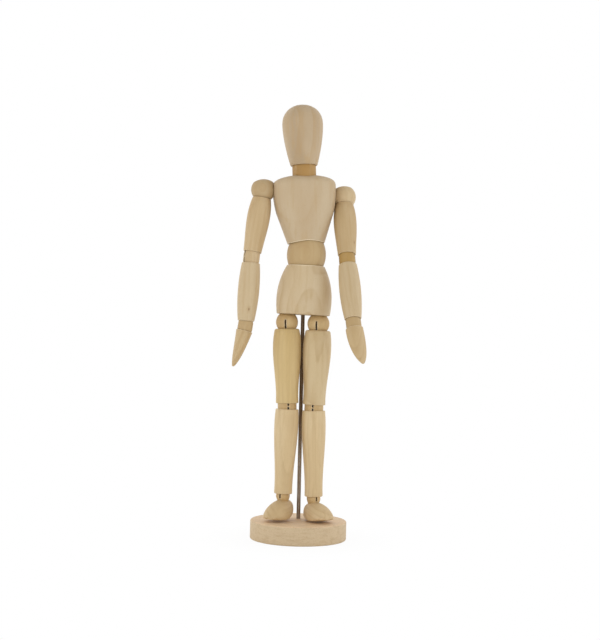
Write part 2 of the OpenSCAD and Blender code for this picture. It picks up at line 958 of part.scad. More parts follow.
shin(RIGHT);  // right_shin
ankle_ball(RIGHT);  // right_ankle_ball
foot(RIGHT);  // right_foot
waist_spring();
neck_spring();
shoulder_spring();
upper_arm_spring(LEFT);  // left_upper_arm_spring
forearm_spring(LEFT);  // left_forearm_spring
thigh_spring(LEFT);  // left_thigh_spring
shin_spring(LEFT);  // left_shin_spring
upper_arm_spring(RIGHT);  // right_upper_arm_spring
forearm_spring(RIGHT);  // right_forearm_spring
thigh_spring(RIGHT);  // right_thigh_spring
shin_spring(RIGHT);  // right_shin_spring
pelvis_pin();
hip_studs();
chest_pins();
head_pin();
shoulder_pins(LEFT);  // left_shoulder_pins
elbow_pins(LEFT);  // left_elbow_pins
wrist_pins(LEFT);  // left_wrist_pins
hand_eye(LEFT);  // left_hand_eye
hip_pin(LEFT);  // left_hip_pin
knee_pins(LEFT);  // left_knee_pins
ankle_pin(LEFT);  // left_ankle_pin
shoulder_pins(RIGHT);  // right_shoulder_pins
elbow_pins(RIGHT);  // right_elbow_pins
wrist_pins(RIGHT);  // right_wrist_pins
hand_eye(RIGHT);  // right_hand_eye
hip_pin(RIGHT);  // right_hip_pin
knee_pins(RIGHT);  // right_knee_pins
ankle_pin(RIGHT);  // right_ankle_pin
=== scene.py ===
import json
import math
import random

import bmesh
import bpy
from mathutils import Matrix, Vector


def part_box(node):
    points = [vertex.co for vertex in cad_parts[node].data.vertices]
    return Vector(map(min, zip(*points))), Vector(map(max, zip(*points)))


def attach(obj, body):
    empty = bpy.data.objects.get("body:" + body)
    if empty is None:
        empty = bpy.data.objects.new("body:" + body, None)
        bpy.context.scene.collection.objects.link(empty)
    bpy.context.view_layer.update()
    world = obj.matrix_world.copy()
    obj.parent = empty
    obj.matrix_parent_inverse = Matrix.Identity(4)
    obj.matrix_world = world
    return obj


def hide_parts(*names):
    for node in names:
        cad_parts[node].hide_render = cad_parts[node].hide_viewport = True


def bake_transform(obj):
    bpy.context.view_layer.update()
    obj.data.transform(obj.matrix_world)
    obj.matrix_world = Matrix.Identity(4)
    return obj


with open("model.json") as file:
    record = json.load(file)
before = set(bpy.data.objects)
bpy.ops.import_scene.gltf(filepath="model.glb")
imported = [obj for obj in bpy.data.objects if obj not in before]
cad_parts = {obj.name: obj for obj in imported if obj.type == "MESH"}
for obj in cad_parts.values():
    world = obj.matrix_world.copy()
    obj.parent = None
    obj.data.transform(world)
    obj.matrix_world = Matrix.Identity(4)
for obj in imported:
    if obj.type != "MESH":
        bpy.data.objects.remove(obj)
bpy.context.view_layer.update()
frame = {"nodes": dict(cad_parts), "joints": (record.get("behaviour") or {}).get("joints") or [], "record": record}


# Base
# The stand's foot is a flat round of flecked, beech-like wood. It is sawn from a board
# and its edges are sanded soft. Its wall shows short flecks, and its face is pinker and
# painted paler, as painted light from above.

MM = 0.001
BASE_WALL = (207, 185, 151)
# Pinker wood, painted paler as painted light on the top.
BASE_FACE_PINK_AND_PAINTED_LIGHT = (226, 196, 158)
BASE_FLECK = (160, 126, 88)
BASE_BAND = (188, 162, 126)


def tint(colour):
    """A colour as seen on a screen, 0 to 255, as the shader's linear one."""
    return [(c / 255 / 12.92 if c <= 10 else ((c / 255 + 0.055) / 1.055) ** 2.4) for c in colour] + [1.0]


def put(tree, kind, inputs=None, **settings):
    """Adds a node, with its settings and what goes into each of its sockets."""
    made = tree.nodes.new(kind)
    for name, value in settings.items():
        setattr(made, name, value)
    for socket, value in (inputs or {}).items():
        if isinstance(value, bpy.types.NodeSocket):
            tree.links.new(value, made.inputs[socket])
        else:
            made.inputs[socket].default_value = value
    return made


def grained(tree, place, stretch, detail):
    """Noise from 0 to 1 whose patches are as long as stretch says, in millimetres."""
    finer = [1 / length for length in stretch]
    scaled = put(tree, "ShaderNodeVectorMath", {0: place, 1: finer}, operation="MULTIPLY").outputs[0]
    noise = put(tree, "ShaderNodeTexNoise", {"Vector": scaled, "Scale": 1.0, "Detail": detail})
    return noise.outputs["Fac"]


def between(tree, value, low, high, out_low=0.0, out_high=1.0):
    """Value from low to high as a smooth step from out_low to out_high."""
    made = put(
        tree,
        "ShaderNodeMapRange",
        {"Value": value, "From Min": low, "From Max": high, "To Min": out_low, "To Max": out_high},
        interpolation_type="SMOOTHSTEP",
    )
    return made.outputs["Result"]


def times(tree, a, b):
    """The product of two values."""
    return put(tree, "ShaderNodeMath", {0: a, 1: b}, operation="MULTIPLY").outputs[0]


def mixed(tree, share, a, b):
    """Colour a with the given share of colour b over it."""
    return put(tree, "ShaderNodeMix", {0: share, 6: a, 7: b}, data_type="RGBA").outputs[2]


def new_finish(name):
    """An empty material: its tree and its shader, joined to the output."""
    material = bpy.data.materials.new(name)
    material.use_nodes = True
    tree = material.node_tree
    tree.nodes.clear()
    shader = put(tree, "ShaderNodeBsdfPrincipled")
    put(tree, "ShaderNodeOutputMaterial", {"Surface": shader.outputs[0]})
    return material, tree, shader


def millimetres(tree, origin=(0, 0, 0), turn=(0, 0, 0)):
    """The object's own coordinates from an origin, turned, in millimetres."""
    place = put(tree, "ShaderNodeTexCoord").outputs["Object"]
    made = put(
        tree,
        "ShaderNodeMapping",
        {"Vector": place, "Location": origin, "Rotation": turn, "Scale": (MM, MM, MM)},
        vector_type="TEXTURE",
    )
    return made.outputs[0]


def flecked_wood(top):
    """Soft bands and short flecks along the board, and a pinker face above the sanded edge, painted paler as
    painted light from above.
    """
    sanded_edge = 0.9
    band_patch = (14, 3, 1.8)
    fleck_patch = (1.3, 0.5, 0.45)
    fibre_patch = (0.5, 0.16, 0.16)
    fibre_depth = 0.08 * MM
    material, tree, shader = new_finish("flecked_base_wood")
    place = millimetres(tree)
    height = put(tree, "ShaderNodeSeparateXYZ", {0: place}).outputs["Z"]
    # The face above the sanded edge is pinker and painted paler: painted light on the top.
    face = between(tree, height, top - sanded_edge, top - 0.1)
    ground = mixed(tree, face, tint(BASE_WALL), tint(BASE_FACE_PINK_AND_PAINTED_LIGHT))
    band = between(tree, grained(tree, place, band_patch, 3.0), 0.42, 0.68)
    ground = mixed(tree, times(tree, band, 0.4), ground, tint(BASE_BAND))
    fleck = between(tree, grained(tree, place, fleck_patch, 2.0), 0.54, 0.68)
    ground = mixed(tree, times(tree, fleck, 0.3), ground, tint(BASE_FLECK))
    fibre = grained(tree, place, fibre_patch, 1.0)
    ground = mixed(tree, between(tree, fibre, 0.55, 0.75, 0.0, 0.25), ground, tint(BASE_FLECK))
    tree.links.new(ground, shader.inputs["Base Color"])
    tree.links.new(between(tree, fibre, 0.2, 0.8, 0.62, 0.5), shader.inputs["Roughness"])
    shader.inputs["Specular IOR Level"].default_value = 0.3
    bump = put(tree, "ShaderNodeBump", {"Height": fibre, "Strength": 0.25, "Distance": fibre_depth})
    tree.links.new(bump.outputs[0], shader.inputs["Normal"])
    return material


def soft_bands():
    """Joins a mesh's bands and shades across them, up to its real edges."""
    real_edge = math.radians(32)
    tree = bpy.data.node_groups.new("soft_bands", "GeometryNodeTree")
    tree.interface.new_socket("Geometry", in_out="INPUT", socket_type="NodeSocketGeometry")
    tree.interface.new_socket("Geometry", in_out="OUTPUT", socket_type="NodeSocketGeometry")
    start = put(tree, "NodeGroupInput").outputs[0]
    joined = put(tree, "GeometryNodeMergeByDistance", {"Geometry": start, "Distance": 0.002 * MM}).outputs[0]
    angle = put(tree, "GeometryNodeInputMeshEdgeAngle").outputs[0]
    sharp = put(tree, "FunctionNodeCompare", {0: angle, 1: real_edge}, operation="GREATER_THAN").outputs[0]
    shaded = put(
        tree,
        "GeometryNodeSetMeshNormal",
        {"Mesh": joined, "Remove Custom": True, "Edge Sharpness": sharp},
        mode="SHARPNESS",
    )
    put(tree, "NodeGroupOutput", {0: shaded.outputs[0]})
    return tree


SOFT_BANDS = soft_bands()


def dress(piece, material):
    """Gives a piece its one finish, and shading that is smooth up to its edges."""
    piece.data.materials.clear()
    piece.data.materials.append(material)
    for face in piece.data.polygons:
        face.use_smooth = True
        face.material_index = 0
    piece.modifiers.new("soft_bands", "NODES").node_group = SOFT_BANDS


base_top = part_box("base")[1].z / MM
dress(frame["nodes"]["base"], flecked_wood(base_top))


# Support rod
# A straight piece of drawn steel wire. It is pressed into the base and goes up behind the
# legs into the pelvis, which slides and turns on it. Its upper half is dulled with painted
# shade and a painted reflection of the wood between the thighs.

ROD_STEEL = (164, 154, 144)
# Dull colour of the streaks, and between the heights below painted shade and a painted reflection of the thighs.
ROD_DULL_AND_PAINTED_SHADE = (88, 66, 38)
ROD_PAINTED_SHADE_HEIGHTS = (40, 90)


def drawn_steel(name, bright, dull, length_mm, painted_shade_heights=None):
    """Bare steel with dull streaks along it, which close up, between two heights if they are given, into painted
    shade and a painted reflection of the wood around.
    """
    streak_patch = (0.5, 0.5, length_mm)
    dull_patch = (3.0, 3.0, 9.0)
    material, tree, shader = new_finish(name)
    place = millimetres(tree)
    streak = grained(tree, place, streak_patch, 3.0)
    patch = grained(tree, place, dull_patch, 2.0)
    share = times(tree, between(tree, streak, 0.4, 0.7), between(tree, patch, 0.3, 0.7, 0.35, 1.0))
    # Between the two heights the dull colour closes up as painted shade and a painted reflection of the wood
    # around.
    if painted_shade_heights:
        height = put(tree, "ShaderNodeSeparateXYZ", {0: place}).outputs["Z"]
        painted_shade = between(tree, height, *painted_shade_heights, 0.0, 0.8)
        share = put(tree, "ShaderNodeMath", {0: share, 1: painted_shade}, operation="MAXIMUM").outputs[0]
    tree.links.new(mixed(tree, share, tint(bright), tint(dull)), shader.inputs["Base Color"])
    tree.links.new(between(tree, patch, 0.3, 0.75, 0.24, 0.4), shader.inputs["Roughness"])
    shader.inputs["Metallic"].default_value = 1.0
    return material


dress(frame["nodes"]["support_rod"], drawn_steel("rod_steel", ROD_STEEL, ROD_DULL_AND_PAINTED_SHADE, 40, ROD_PAINTED_SHADE_HEIGHTS))


# Pelvis
# A block carved from pale basswood, which shows the arched figure of a flat-sawn board on
# its front. Its top is dished for the waist and its underside has a cup for each hip.

LIMB_LIGHT = (204, 185, 152)
LIMB_STREAK = (180, 149, 103)
LIMB_RING = (174, 143, 99)
LIMB_PORE = (146, 116, 78)
# Pale colour painted on rounded edges as a painted highlight.
LIMB_EDGE_HIGHLIGHT = (228, 212, 178)
KNOT = (128, 94, 58)

joint_at = {j["name"]: Vector(j["pos_m"]) for j in frame["joints"] if j["type"] == "hinge"}
joint_axis = {j["name"]: Vector(j["axis"]) for j in frame["joints"]}
hip_middle = (joint_at["left_hip_turn"] + joint_at["right_hip_turn"]) / 2
waist = joint_at["waist_bend"]


def set_frame(origin, x, z):
    """Places a piece's own axes: X and Z as given, and Y square to both."""
    y = z.cross(x)
    return Matrix.Translation(origin) @ Matrix((x, y, z)).transposed().to_4x4()


hip_line = (joint_at["left_hip_turn"] - joint_at["right_hip_turn"]).normalized()
pelvis_place = set_frame(hip_middle, hip_line, (waist - hip_middle).normalized())


def grain_turn(direction):
    """Euler turn of a frame whose Z runs along a piece of wood's grain."""
    return direction.to_track_quat("Z", "Y").to_euler("XYZ")


def plain_wood(name, pith, grain, light, deep, streaks=0.5, rings=0.5, ring_mm=3.4, knot=None):
    """Pale wood sawn from a log: rings about its pith, streaks and pores along its grain, and edges
    painted paler, a painted highlight where their rounding catches the light. The pith is a point of
    the log's middle line, which runs along the grain."""
    drift_patch = (16, 16, 70)
    streak_patch = (2.6, 2.6, 110)
    ring_patch = (9, 9, 40)
    fibre_patch = (0.28, 0.28, 7)
    pore_patch = (0.14, 0.14, 1.6)
    ring_sway = (5, 5, 0)
    knot_stretch = (1, 1, 0.5)
    sanded_edge = 1.1 * MM
    fibre_depth = 0.06 * MM
    material, tree, shader = new_finish(name)
    place = millimetres(tree, pith, grain_turn(grain))
    draw = random.Random(name)
    apart = [draw.uniform(-400, 400) for _ in range(3)]
    log = put(tree, "ShaderNodeVectorMath", {0: place, 1: apart}).outputs[0]

    drift = between(tree, grained(tree, log, drift_patch, 2.0), 0.34, 0.66)
    ground = mixed(tree, drift, tint(light), tint(deep))
    streak = between(tree, grained(tree, log, streak_patch, 3.0), 0.5, 0.72)
    ground = mixed(tree, times(tree, streak, streaks), ground, tint(LIMB_STREAK))

    sway = put(tree, "ShaderNodeTexNoise", {"Vector": log, "Scale": 0.035, "Detail": 2.0}).outputs["Color"]
    sway = put(tree, "ShaderNodeVectorMath", {0: sway, 1: (0.5, 0.5, 0.5)}, operation="SUBTRACT").outputs[0]
    bent = {0: sway, 1: ring_sway, 2: place}
    swayed = put(tree, "ShaderNodeVectorMath", bent, operation="MULTIPLY_ADD").outputs[0]
    across = put(tree, "ShaderNodeVectorMath", {0: swayed, 1: (1, 1, 0)}, operation="MULTIPLY").outputs[0]
    radius = put(tree, "ShaderNodeVectorMath", {0: across}, operation="LENGTH").outputs["Value"]
    year = put(tree, "ShaderNodeMath", {0: times(tree, radius, 1 / ring_mm)}, operation="FRACT").outputs[0]
    late = put(tree, "ShaderNodeValToRGB", {"Fac": year})
    ramp = late.color_ramp.elements
    ramp[0].color = (0, 0, 0, 1)
    ramp[1].color = (0, 0, 0, 1)
    for position, level in ((0.45, 0.12), (0.82, 0.75), (0.9, 1.0), (0.97, 0.25)):
        ramp.new(position).color = (level, level, level, 1)
    some = between(tree, grained(tree, log, ring_patch, 1.0), 0.3, 0.7, 0.25, 1.0)
    line = times(tree, times(tree, late.outputs[0], some), rings)
    ground = mixed(tree, line, ground, tint(LIMB_RING))

    if knot:
        around = millimetres(tree, knot, grain_turn(grain))
        oval = {0: around, 1: knot_stretch}
        reach = put(tree, "ShaderNodeVectorMath", oval, operation="MULTIPLY").outputs[0]
        reach = put(tree, "ShaderNodeVectorMath", {0: reach}, operation="LENGTH").outputs["Value"]
        ground = mixed(tree, between(tree, reach, 0.3, 2.2, 0.4, 0.0), ground, tint(LIMB_RING))
        ground = mixed(tree, between(tree, reach, 0.2, 0.7, 0.7, 0.0), ground, tint(KNOT))

    fibre = grained(tree, log, fibre_patch, 2.0)
    ground = mixed(tree, between(tree, fibre, 0.4, 0.8, 0.0, 0.16), ground, tint(LIMB_STREAK))
    pore = between(tree, grained(tree, log, pore_patch, 1.0), 0.66, 0.76)
    ground = mixed(tree, times(tree, pore, 0.35), ground, tint(LIMB_PORE))

    # Painted highlight: edges are painted paler, standing in for light caught by their rounding.
    rounded = put(tree, "ShaderNodeBevel", {"Radius": sanded_edge}, samples=8).outputs[0]
    own = put(tree, "ShaderNodeNewGeometry").outputs["Normal"]
    alike = put(tree, "ShaderNodeVectorMath", {0: rounded, 1: own}, operation="DOT_PRODUCT")
    edge = between(tree, alike.outputs["Value"], 0.72, 0.97, 0.85, 0.0)
    ground = mixed(tree, edge, ground, tint(LIMB_EDGE_HIGHLIGHT))
    tree.links.new(ground, shader.inputs["Base Color"])
    tree.links.new(between(tree, fibre, 0.25, 0.75, 0.5, 0.62), shader.inputs["Roughness"])
    shader.inputs["Specular IOR Level"].default_value = 0.35
    bump = put(tree, "ShaderNodeBump", {"Height": fibre, "Strength": 0.2, "Distance": fibre_depth})
    tree.links.new(bump.outputs[0], shader.inputs["Normal"])
    return material


def pull(a, b, c, d, t):
    """Point at t on the curve from a to d that b and c pull, for each of their numbers."""
    weights = ((1 - t) ** 3, 3 * t * (1 - t) ** 2, 3 * t * t * (1 - t), t**3)
    return [sum(w * p for w, p in zip(weights, points)) for points in zip(a, b, c, d)]


def squared_oval(half_width, half_depth, squareness, points=96):
    """A section between an oval and a rounded block, squarer the larger its exponent."""
    ring = []
    for k in range(points):
        angle = 2 * math.pi * k / points
        c, s = math.cos(angle), math.sin(angle)
        ring.append((
            half_width * math.copysign(abs(c) ** (2 / squareness), c),
            half_depth * math.copysign(abs(s) ** (2 / squareness), s),
        ))
    return ring


def carve(name, rings):
    """A closed piece through rings of points, in metres, with flat ends."""
    mesh = bpy.data.meshes.new(name)
    shape = bmesh.new()
    loops = [[shape.verts.new(p) for p in ring] for ring in rings]
    for lower, upper in zip(loops, loops[1:]):
        for k in range(len(lower)):
            shape.faces.new((lower[k - 1], lower[k], upper[k], upper[k - 1]))
    shape.faces.new(reversed(loops[0]))
    shape.faces.new(loops[-1])
    bmesh.ops.recalc_face_normals(shape, faces=shape.faces)
    shape.to_mesh(mesh)
    shape.free()
    piece = bpy.data.objects.new(name, mesh)
    bpy.context.scene.collection.objects.link(piece)
    return piece


def ball_cutter(centre, radius):
    """A ball that leaves a round cup."""
    cutter = bmesh.new()
    place = Matrix.Translation(centre)
    bmesh.ops.create_uvsphere(cutter, u_segments=96, v_segments=48, radius=radius, matrix=place)
    return cutter


def bore_cutter(place, low_radius, high_radius, length):
    """A straight or tapered plug that leaves a bore."""
    cutter = bmesh.new()
    bmesh.ops.create_cone(
        cutter,
        cap_ends=True,
        segments=48,
        radius1=low_radius,
        radius2=high_radius,
        depth=length,
        matrix=place,
    )
    return cutter


def hollow(piece, cutters):
    """Cuts cups and bores out of a piece for good."""
    for cutter in cutters:
        mesh = bpy.data.meshes.new("cutter")
        cutter.to_mesh(mesh)
        cutter.free()
        tool = bpy.data.objects.new("cutter", mesh)
        bpy.context.scene.collection.objects.link(tool)
        cut = piece.modifiers.new("cut", "BOOLEAN")
        cut.object = tool
        cut.solver = "EXACT"
        bpy.context.view_layer.update()
        done = bpy.data.meshes.new_from_object(piece.evaluated_get(bpy.context.evaluated_depsgraph_get()))
        piece.modifiers.remove(cut)
        piece.data = done
        bpy.data.objects.remove(tool)


CUP_PLAY = 0.3 * MM
HIP_BALL = 7.7 * MM
WAIST_BALL = 15 * MM
PELVIS_RIM = 1 * MM


def carved_pelvis():
    """A squared block that swells over the hips and draws in to a round top."""
    foot = 5.7 * MM
    top = (waist - hip_middle).length - 7.5 * MM
    foot_half = (18.7, 13.8)
    hip_pull = (20.2, 15)
    belly_pull = (19.3, 15.2)
    top_half = (13, 13)
    foot_square = 2.7
    top_square = 2
    rod_hole_radius = 1.45 * MM
    rings = []
    for degrees in range(0, 90, 15):
        inset = PELVIS_RIM * (1 - math.sin(math.radians(degrees)))
        z = foot + PELVIS_RIM * (1 - math.cos(math.radians(degrees)))
        oval = squared_oval(foot_half[0] * MM - inset, foot_half[1] * MM - inset, foot_square)
        rings.append([pelvis_place @ Vector((x, y, z)) for x, y in oval])
    steps = 32
    for k in range(steps + 1):
        t = k / steps
        width, depth = pull(foot_half, hip_pull, belly_pull, top_half, t)
        z = foot + PELVIS_RIM + (top - foot - PELVIS_RIM) * t
        oval = squared_oval(width * MM, depth * MM, foot_square + (top_square - foot_square) * t)
        rings.append([pelvis_place @ Vector((x, y, z)) for x, y in oval])
    piece = carve("carved_pelvis", rings)
    rod_x, rod_y = (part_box("support_rod")[0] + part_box("support_rod")[1]).xy / 2
    rod_hole = Matrix.Translation((rod_x, rod_y, hip_middle.z + foot))
    hollow(piece, [
        ball_cutter(waist, WAIST_BALL + CUP_PLAY),
        ball_cutter(joint_at["left_hip_turn"], HIP_BALL + CUP_PLAY),
        ball_cutter(joint_at["right_hip_turn"], HIP_BALL + CUP_PLAY),
        bore_cutter(rod_hole, rod_hole_radius, rod_hole_radius, 40 * MM),
    ])
    return piece


pelvis = carved_pelvis()
pelvis_pith = pelvis_place @ (Vector((3, -3, 24)) * MM)
pelvis_grain = Vector((0.02, 0.16, 1))
pelvis_tones = (LIMB_LIGHT, (197, 175, 139))
dress(pelvis, plain_wood("pelvis_wood", pelvis_pith, pelvis_grain, *pelvis_tones, streaks=0.3, ring_mm=4.0))
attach(pelvis, "pelvis")
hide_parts("pelvis")


# Waist
# A barrel-shaped ball of a yellower wood, turned and bored through for the spring that
# draws the chest down on it.

BALL_LIGHT = (191, 167, 125)
BALL_DEEP = (180, 152, 108)

waist_pith = waist + Vector((4, 24, 0)) * MM
waist_grain = Vector((0, 0.05, 1))
waist_wood = plain_wood("waist_wood", waist_pith, waist_grain, BALL_LIGHT, BALL_DEEP, rings=0.4)
dress(frame["nodes"]["waist_ball"], waist_wood)


# Chest
# A block carved from the same pale wood as the pelvis, wide at the arms and narrow below.
# It is dished under for the waist, and has cups for the neck and the shoulder balls.

NECK_BALL = 9.15 * MM
SHOULDER_BALL = 8.6 * MM
neck = joint_at["neck_lean"]
chest_place = set_frame(waist, joint_axis["head_nod"], joint_axis["waist_twist"])


def carved_chest():
    """A squared block, given by its half width, half depth and height from its foot to its top."""
    foot = (12.75, 12, 7.4)
    rib = (20, 13.4, 29)
    rib_pull = (21.5, 14, 34)
    side_pull = (22.3, 14.1, 42.2)
    arm = (22.2, 14, 48.2)
    corner_pull = (22.2, 13.9, 52.2)
    slope_pull = (18.5, 12, 54)
    top = (8.2, 7, 55.4)
    foot_square = 2.1
    squareness = 2.5
    sections = []
    for k in range(16):
        sections.append([a + (b - a) * k / 16 for a, b in zip(foot, rib)])
    for k in range(14):
        sections.append(pull(rib, rib_pull, side_pull, arm, k / 14))
    for k in range(21):
        sections.append(pull(arm, corner_pull, slope_pull, top, k / 20))
    rings = []
    for width, depth, height in sections:
        share = min(1, (height - foot[2]) / (rib[2] - foot[2]))
        oval = squared_oval(width * MM, depth * MM, foot_square + (squareness - foot_square) * share)
        rings.append([chest_place @ Vector((x, y, height * MM)) for x, y in oval])
    piece = carve("carved_chest", rings)
    hollow(piece, [
        ball_cutter(waist, WAIST_BALL + CUP_PLAY),
        ball_cutter(neck, NECK_BALL + CUP_PLAY),
        ball_cutter(joint_at["left_shoulder_swing"], SHOULDER_BALL + CUP_PLAY),
        ball_cutter(joint_at["right_shoulder_swing"], SHOULDER_BALL + CUP_PLAY),
    ])
    return piece


chest = carved_chest()
chest_pith = chest_place @ (Vector((2, 22, 0)) * MM)
chest_tones = ((193, 174, 144), (187, 165, 133))
chest_grain = Vector((0, 0.06, 1))
chest_wood = plain_wood(
    "chest_wood", chest_pith, chest_grain, *chest_tones, streaks=0.3, rings=0.22, ring_mm=4.2
)
dress(chest, chest_wood)
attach(chest, "chest")
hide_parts("chest")


# Neck
# A short drum with rounded ends, turned from the yellower wood and bored through, and painted
# darker as painted shade under the head. It sits loose between chest and head, which a spring in
# its bore draws together.

neck_pith = neck + Vector((6, 16, 0)) * MM
# Painted shade: the neck is painted darker than its wood for the shade under the head.
neck_painted_shade_tones = ((169, 131, 74), (154, 115, 57))
neck_grain = Vector((0.03, 0, 1))
neck_wood = plain_wood("neck_wood", neck_pith, neck_grain, *neck_painted_shade_tones, streaks=0.6, rings=0.35)
dress(frame["nodes"]["neck"], neck_wood)


# Head
# A blank egg, turned from pale wood with its grain upright. It is cupped below for the neck,
# and a pin from its back holds the spring.

head_pith = neck + Vector((35, 10, 0)) * MM
head_tones = ((184, 163, 133), (171, 149, 119))
head_grain = Vector((-0.03, 0.03, 1))
head_wood = plain_wood("turned_head_wood", head_pith, head_grain, *head_tones, streaks=0.45, ring_mm=9.4)
dress(frame["nodes"]["head"], head_wood)


# Arms
# On each side a mushroom-shaped shoulder ball, two limbs turned from pale dowels, and a
# barrel-shaped ball with two saw cuts at the elbow and at the wrist.

ARM_TONES = {"left": ((195, 171, 132), (183, 156, 113)), "right": ((196, 172, 133), (186, 159, 117))}
SHOULDER_TONES = {"left": ((201, 180, 143), (192, 168, 130)), "right": ((185, 163, 126), (174, 149, 110))}
ELBOW_TONES = {"left": ((177, 144, 87), (164, 129, 69)), "right": ((200, 177, 140), (190, 166, 127))}
FOREARM_TONES = ((203, 183, 148), (195, 173, 136))
ARM_KNOT_SHARE = 0.76
ARM_KNOT_SIDE = Vector((5.1, -4.4, 0)) * MM
FOREARM_KNOT_SHARE = 0.78
FOREARM_KNOT_SIDE = Vector((1.7, -6.6, 0)) * MM
UP = Vector((0, 0, 1))


def limb_grain(name, start, end, lean, away):
    """A limb's pith, some millimetres away to one side of it, and its grain, which leans a little."""
    along = (start - end).normalized()
    draw = random.Random(name)
    turn = draw.uniform(0, 2 * math.pi)
    side = Matrix.Rotation(turn, 3, along) @ along.orthogonal().normalized()
    grain = (along + side.cross(along) * lean + side * lean * 0.5).normalized()
    return (start + end) / 2 + side * away * MM, grain


def dress_limb(node, start, end, light, deep, streaks, rings=0.45, knot=None):
    """Finishes a turned piece of the frame. A knot is moved to the nearest spot of its face."""
    piece = frame["nodes"][node]
    pith, grain = limb_grain(node, start, end, lean=0.05, away=22)
    if knot:
        knot = piece.closest_point_on_mesh(knot)[1]
    dress(piece, plain_wood(node + "_wood", pith, grain, light, deep, streaks, rings, 3.2, knot))


for side in ("left", "right"):
    shoulder = joint_at[side + "_shoulder_swing"]
    elbow_top = joint_at[side + "_elbow_upper"]
    elbow = joint_at[side + "_elbow_lower"]
    wrist_top = joint_at[side + "_wrist_upper"]
    wrist = joint_at[side + "_wrist_lower"]
    arm_knot = None
    forearm_knot = None
    if side == "left":
        arm_knot = shoulder.lerp(elbow_top, ARM_KNOT_SHARE) + ARM_KNOT_SIDE
    else:
        forearm_knot = elbow.lerp(wrist_top, FOREARM_KNOT_SHARE) + FOREARM_KNOT_SIDE
    dress_limb(side + "_shoulder_ball", shoulder + UP, shoulder, *SHOULDER_TONES[side], streaks=0.4)
    dress_limb(side + "_upper_arm", shoulder, elbow_top, *ARM_TONES[side], streaks=0.6, knot=arm_knot)
    dress_limb(side + "_elbow_ball", elbow_top, elbow, *ELBOW_TONES[side], streaks=0.4)
    dress_limb(
        side + "_forearm", elbow, wrist_top, *FOREARM_TONES, streaks=0.35, rings=0.25, knot=forearm_knot
    )
    dress_limb(side + "_wrist_ball", wrist_top, wrist, BALL_LIGHT, BALL_DEEP, streaks=0.4)


# Hands
# A mitten without a thumb, carved flat towards its tip from one piece of pale wood. A wire
# eye in its top goes round the wrist's lower pin.

WRIST_BALL = 5.2 * MM
HAND_LENGTH = 25.5
WRIST_RIM = 1.75
HAND_TURN = {"left": -60, "right": 0}
HAIR = 0.03
HAND_TONES = ((201, 178, 138), (190, 164, 121))


def carved_hand(side, place):
    """A mitten from the wrist's rim to its tip, a hair slimmer than its coarser solid."""
    rim = (5.8, 5.7, 0, 0, 0)
    palm_pull = (7.6, 4.5, 0.3 * HAND_LENGTH, 0, 0)
    finger_pull = (6.6, 3.4, 0.8 * HAND_LENGTH, 0.6, 0.5)
    tip = (0.9, 0.7, HAND_LENGTH, 1.4, 1.2)
    outward = 1 if side == "left" else -1
    turned = place @ Matrix.Rotation(math.radians(outward * HAND_TURN[side]), 4, "Z")
    steps = 30
    rings = []
    for k in range(steps + 1):
        breadth, thick, drop, palm, lean = pull(rim, palm_pull, finger_pull, tip, k / steps)
        oval = squared_oval(breadth - HAIR, thick - HAIR, 2.2, 64)
        low = -WRIST_RIM - drop
        rings.append([turned @ (Vector((x + outward * lean, y - palm, low)) * MM) for x, y in oval])
    piece = carve("carved_" + side + "_hand", rings)
    hollow(piece, [ball_cutter(place.translation, WRIST_BALL + CUP_PLAY)])
    return piece


for side in ("left", "right"):
    wrist_top = joint_at[side + "_wrist_upper"]
    wrist = joint_at[side + "_wrist_lower"]
    forearm_down = (wrist_top - joint_at[side + "_elbow_lower"]).normalized()
    ball_down = (wrist - wrist_top).normalized()
    hand_down = forearm_down.rotation_difference(ball_down) @ ball_down
    hand = carved_hand(side, set_frame(wrist, -joint_axis[side + "_wrist_lower"], -hand_down))
    pith, grain = limb_grain(side + "_hand", wrist, wrist + hand_down, lean=0.12, away=16)
    dress(hand, plain_wood(side + "_hand_wood", pith, grain, *HAND_TONES, streaks=0.4, rings=0.4))
    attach(hand, side + "_hand")
    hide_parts(side + "_hand")


# Legs
# Each hip ball turns on a headed stud under the pelvis. Thigh and shin are turned from
# dowels, and a barrel with saw cuts makes the knee. The ankle is a ball on a cone.

LEFT_THIGH_TONES = ((204, 183, 144), (196, 172, 130))
RIGHT_THIGH_TONES = ((205, 180, 129), (198, 170, 114))
SHIN_TONES = ((215, 193, 153), (208, 183, 140))
HIP_TONES = ((199, 172, 124), (189, 158, 108))
KNEE_TONES = ((196, 169, 122), (188, 157, 108))
ANKLE_TONES = ((203, 174, 125), (193, 161, 111))

for side in ("left", "right"):
    hip = joint_at[side + "_hip_swing"]
    knee_top = joint_at[side + "_knee_upper"]
    knee = joint_at[side + "_knee_lower"]
    ankle = joint_at[side + "_ankle_pitch"]
    dress_limb(side + "_hip_ball", hip, knee_top, *HIP_TONES, streaks=0.45)
    dress_limb(side + "_knee_ball", knee_top, knee, *KNEE_TONES, streaks=0.4)
    dress_limb(side + "_shin", knee, ankle, *SHIN_TONES, streaks=0.3, rings=0.3)
    dress_limb(side + "_ankle_ball", knee, ankle, *ANKLE_TONES, streaks=0.4)

right_hip = joint_at["right_hip_swing"]
right_knee_top = joint_at["right_knee_upper"]
dress_limb("right_thigh", right_hip, right_knee_top, *RIGHT_THIGH_TONES, streaks=0.3, rings=0.35)

# The left thigh's grain comes out at its front, so its rings show there as a V.
thigh_pith = joint_at["left_hip_swing"] + Vector((0.9, -9.6, 2.5)) * MM
thigh_grain = Vector((0.02, -0.16, 1))
thigh_wood = plain_wood(
    "left_thigh_wood", thigh_pith, thigh_grain, *LEFT_THIGH_TONES, streaks=0.3, rings=0.45, ring_mm=4.1
)
dress(frame["nodes"]["left_thigh"], thigh_wood)


# Feet
# A clog carved in one piece with a round heel and a raised toe. The ankle's peg goes down
# into it, and it turns on that.

FOOT_LENGTH = 30
FOOT_WIDTH = 18.4
FOOT_HEIGHT = 10.6
SEAT_DROP = 5.6
SOLE_DROP = 13.9
FOOT_TONES = ((209, 184, 143), (198, 171, 128))


